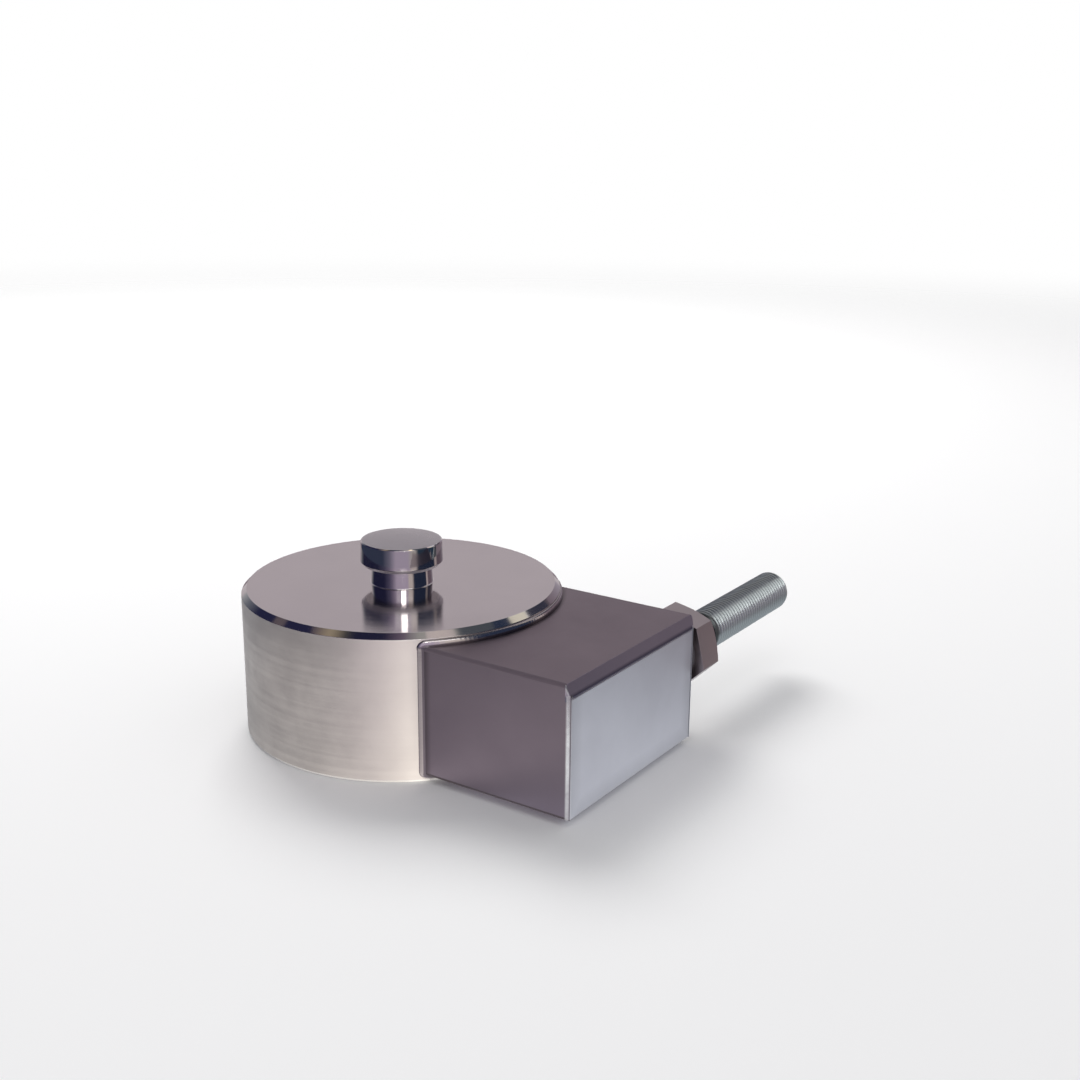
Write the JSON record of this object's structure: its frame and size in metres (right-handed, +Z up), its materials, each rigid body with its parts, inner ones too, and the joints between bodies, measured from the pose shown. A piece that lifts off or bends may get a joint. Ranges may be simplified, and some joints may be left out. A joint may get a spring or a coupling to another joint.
{
  "type": "strain gauge load cell",
  "caption": "Low-profile compression load cell: a thick steel disc with a load button on top, a box-shaped terminal housing on its side and a threaded cable stem.",
  "frame": {"origin": "centre of the elastic body's underside, which is also the centre of its base bolt circle", "axes": "+Z up through the load button, +X from the body towards the end cover of the terminal housing, +Y along the threaded stem, the way the cable leaves"},
  "size_m": [0.1249, 0.1465, 0.0549],
  "materials": {
    "body_steel": "ground and lapped stainless steel, near-mirror on top",
    "button_steel": "polished stainless steel, fine-ground on the dome",
    "housing_steel": "satin stainless steel with a dark mauve tone",
    "weld_steel": "smooth bright weld bead",
    "cover_plate": "pale fine-blasted plate",
    "bottom_steel": "fine turned stainless steel",
    "fitting_steel": "satin hexagon bar",
    "stem_steel": "bluish zinc-plated thread",
    "seal_rubber": "black, matt",
    "bush_rubber": "black, matt",
    "gauge_film": "amber film",
    "harness_film": "amber film",
    "strip_laminate": "pale laminate",
    "sleeve_polymer": "white polymer",
    "lead_red": "red insulation",
    "lead_black": "black insulation",
    "lead_green": "green insulation",
    "lead_white": "white insulation",
    "board_laminate": "green solder mask",
    "post_brass": "turned brass",
    "screw_steel": "bright steel",
    "block_screw_steel": "bright steel",
    "resistor_body": "dark moulded body",
    "block_plastic": "blue moulded plastic"
  },
  "bodies": {
    "root": {"block_screw_1": "block_screw_steel", "block_screw_2": "block_screw_steel", "block_screw_3": "block_screw_steel", "block_screw_4": "block_screw_steel", "board_post_1": "post_brass", "board_post_2": "post_brass", "board_post_3": "post_brass", "board_post_4": "post_brass", "board_screw_1": "screw_steel", "board_screw_2": "screw_steel", "board_screw_3": "screw_steel", "board_screw_4": "screw_steel", "bottom_cover": "bottom_steel", "bridge_harness": "harness_film", "bridge_lead_1": "lead_red", "bridge_lead_2": "lead_black", "bridge_lead_3": "lead_green", "bridge_lead_4": "lead_white", "cable_bush": "bush_rubber", "circuit_board": "board_laminate", "elastic_body": "body_steel", "end_cover": "cover_plate", "feed_sleeve": "sleeve_polymer", "hex_fitting": "fitting_steel", "load_button": "button_steel", "saddle_weld": "weld_steel", "seal_washer": "seal_rubber", "strain_gauge_1": "gauge_film", "strain_gauge_2": "gauge_film", "strain_gauge_3": "gauge_film", "strain_gauge_4": "gauge_film", "strain_gauge_5": "gauge_film", "strain_gauge_6": "gauge_film", "strain_gauge_7": "gauge_film", "strain_gauge_8": "gauge_film", "terminal_block": "block_plastic", "terminal_housing": "housing_steel", "terminal_strip": "strip_laminate", "threaded_stem": "stem_steel", "trim_resistor_1": "resistor_body", "trim_resistor_2": "resistor_body", "trim_resistor_3": "resistor_body", "trim_resistor_4": "resistor_body"}
  },
  "joints": []
}
